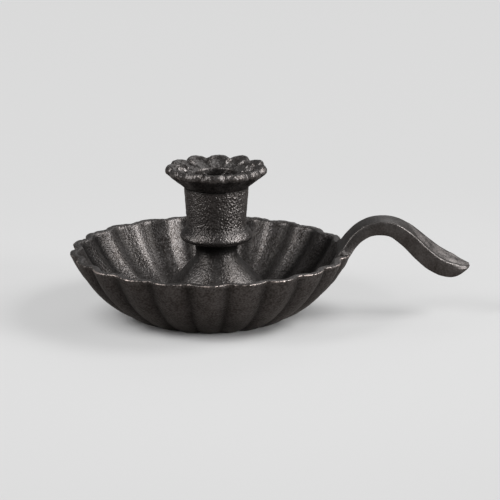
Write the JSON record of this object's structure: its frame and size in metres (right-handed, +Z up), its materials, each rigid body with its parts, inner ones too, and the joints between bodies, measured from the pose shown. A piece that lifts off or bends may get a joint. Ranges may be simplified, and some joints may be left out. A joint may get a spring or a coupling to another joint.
{
  "type": "chamberstick",
  "caption": "Cast iron chamberstick: round scalloped drip pan with an S-curved tail handle, hollow bell stem and candle socket under a lift-out scalloped bobeche.",
  "frame": {"origin": "on the table under the middle of the foot, on the candle's axis", "axes": "+Z up along the candle, +X towards the handle's tip, +Y to the back of the picture's view"},
  "size_m": [0.2083, 0.1456, 0.0795],
  "materials": {
    "pan_iron": "seasoned fine sand cast, semi-gloss",
    "handle_iron": "smooth dressed, edges worn bright",
    "rivet_iron": "peened and dressed flush",
    "stem_iron": "seasoned sand cast",
    "socket_iron": "coarse pitted sand cast",
    "bobeche_iron": "coarse sand cast, lip worn bright",
    "screw_steel": "blackened",
    "washer_steel": "blackened"
  },
  "bodies": {
    "holder": {"drip_pan": "pan_iron", "handle": "handle_iron", "handle_rivets": "rivet_iron", "stem": "stem_iron", "candle_socket": "socket_iron", "tie_screw": "screw_steel", "lock_washer": "washer_steel"},
    "drip_dish": {"bobeche": "bobeche_iron"}
  },
  "joints": [
    {"name": "bobeche_lift", "type": "slide", "parent": "holder", "child": "drip_dish", "axis": [0, 0, 1], "range_m": [0, 0.03]}
  ]
}
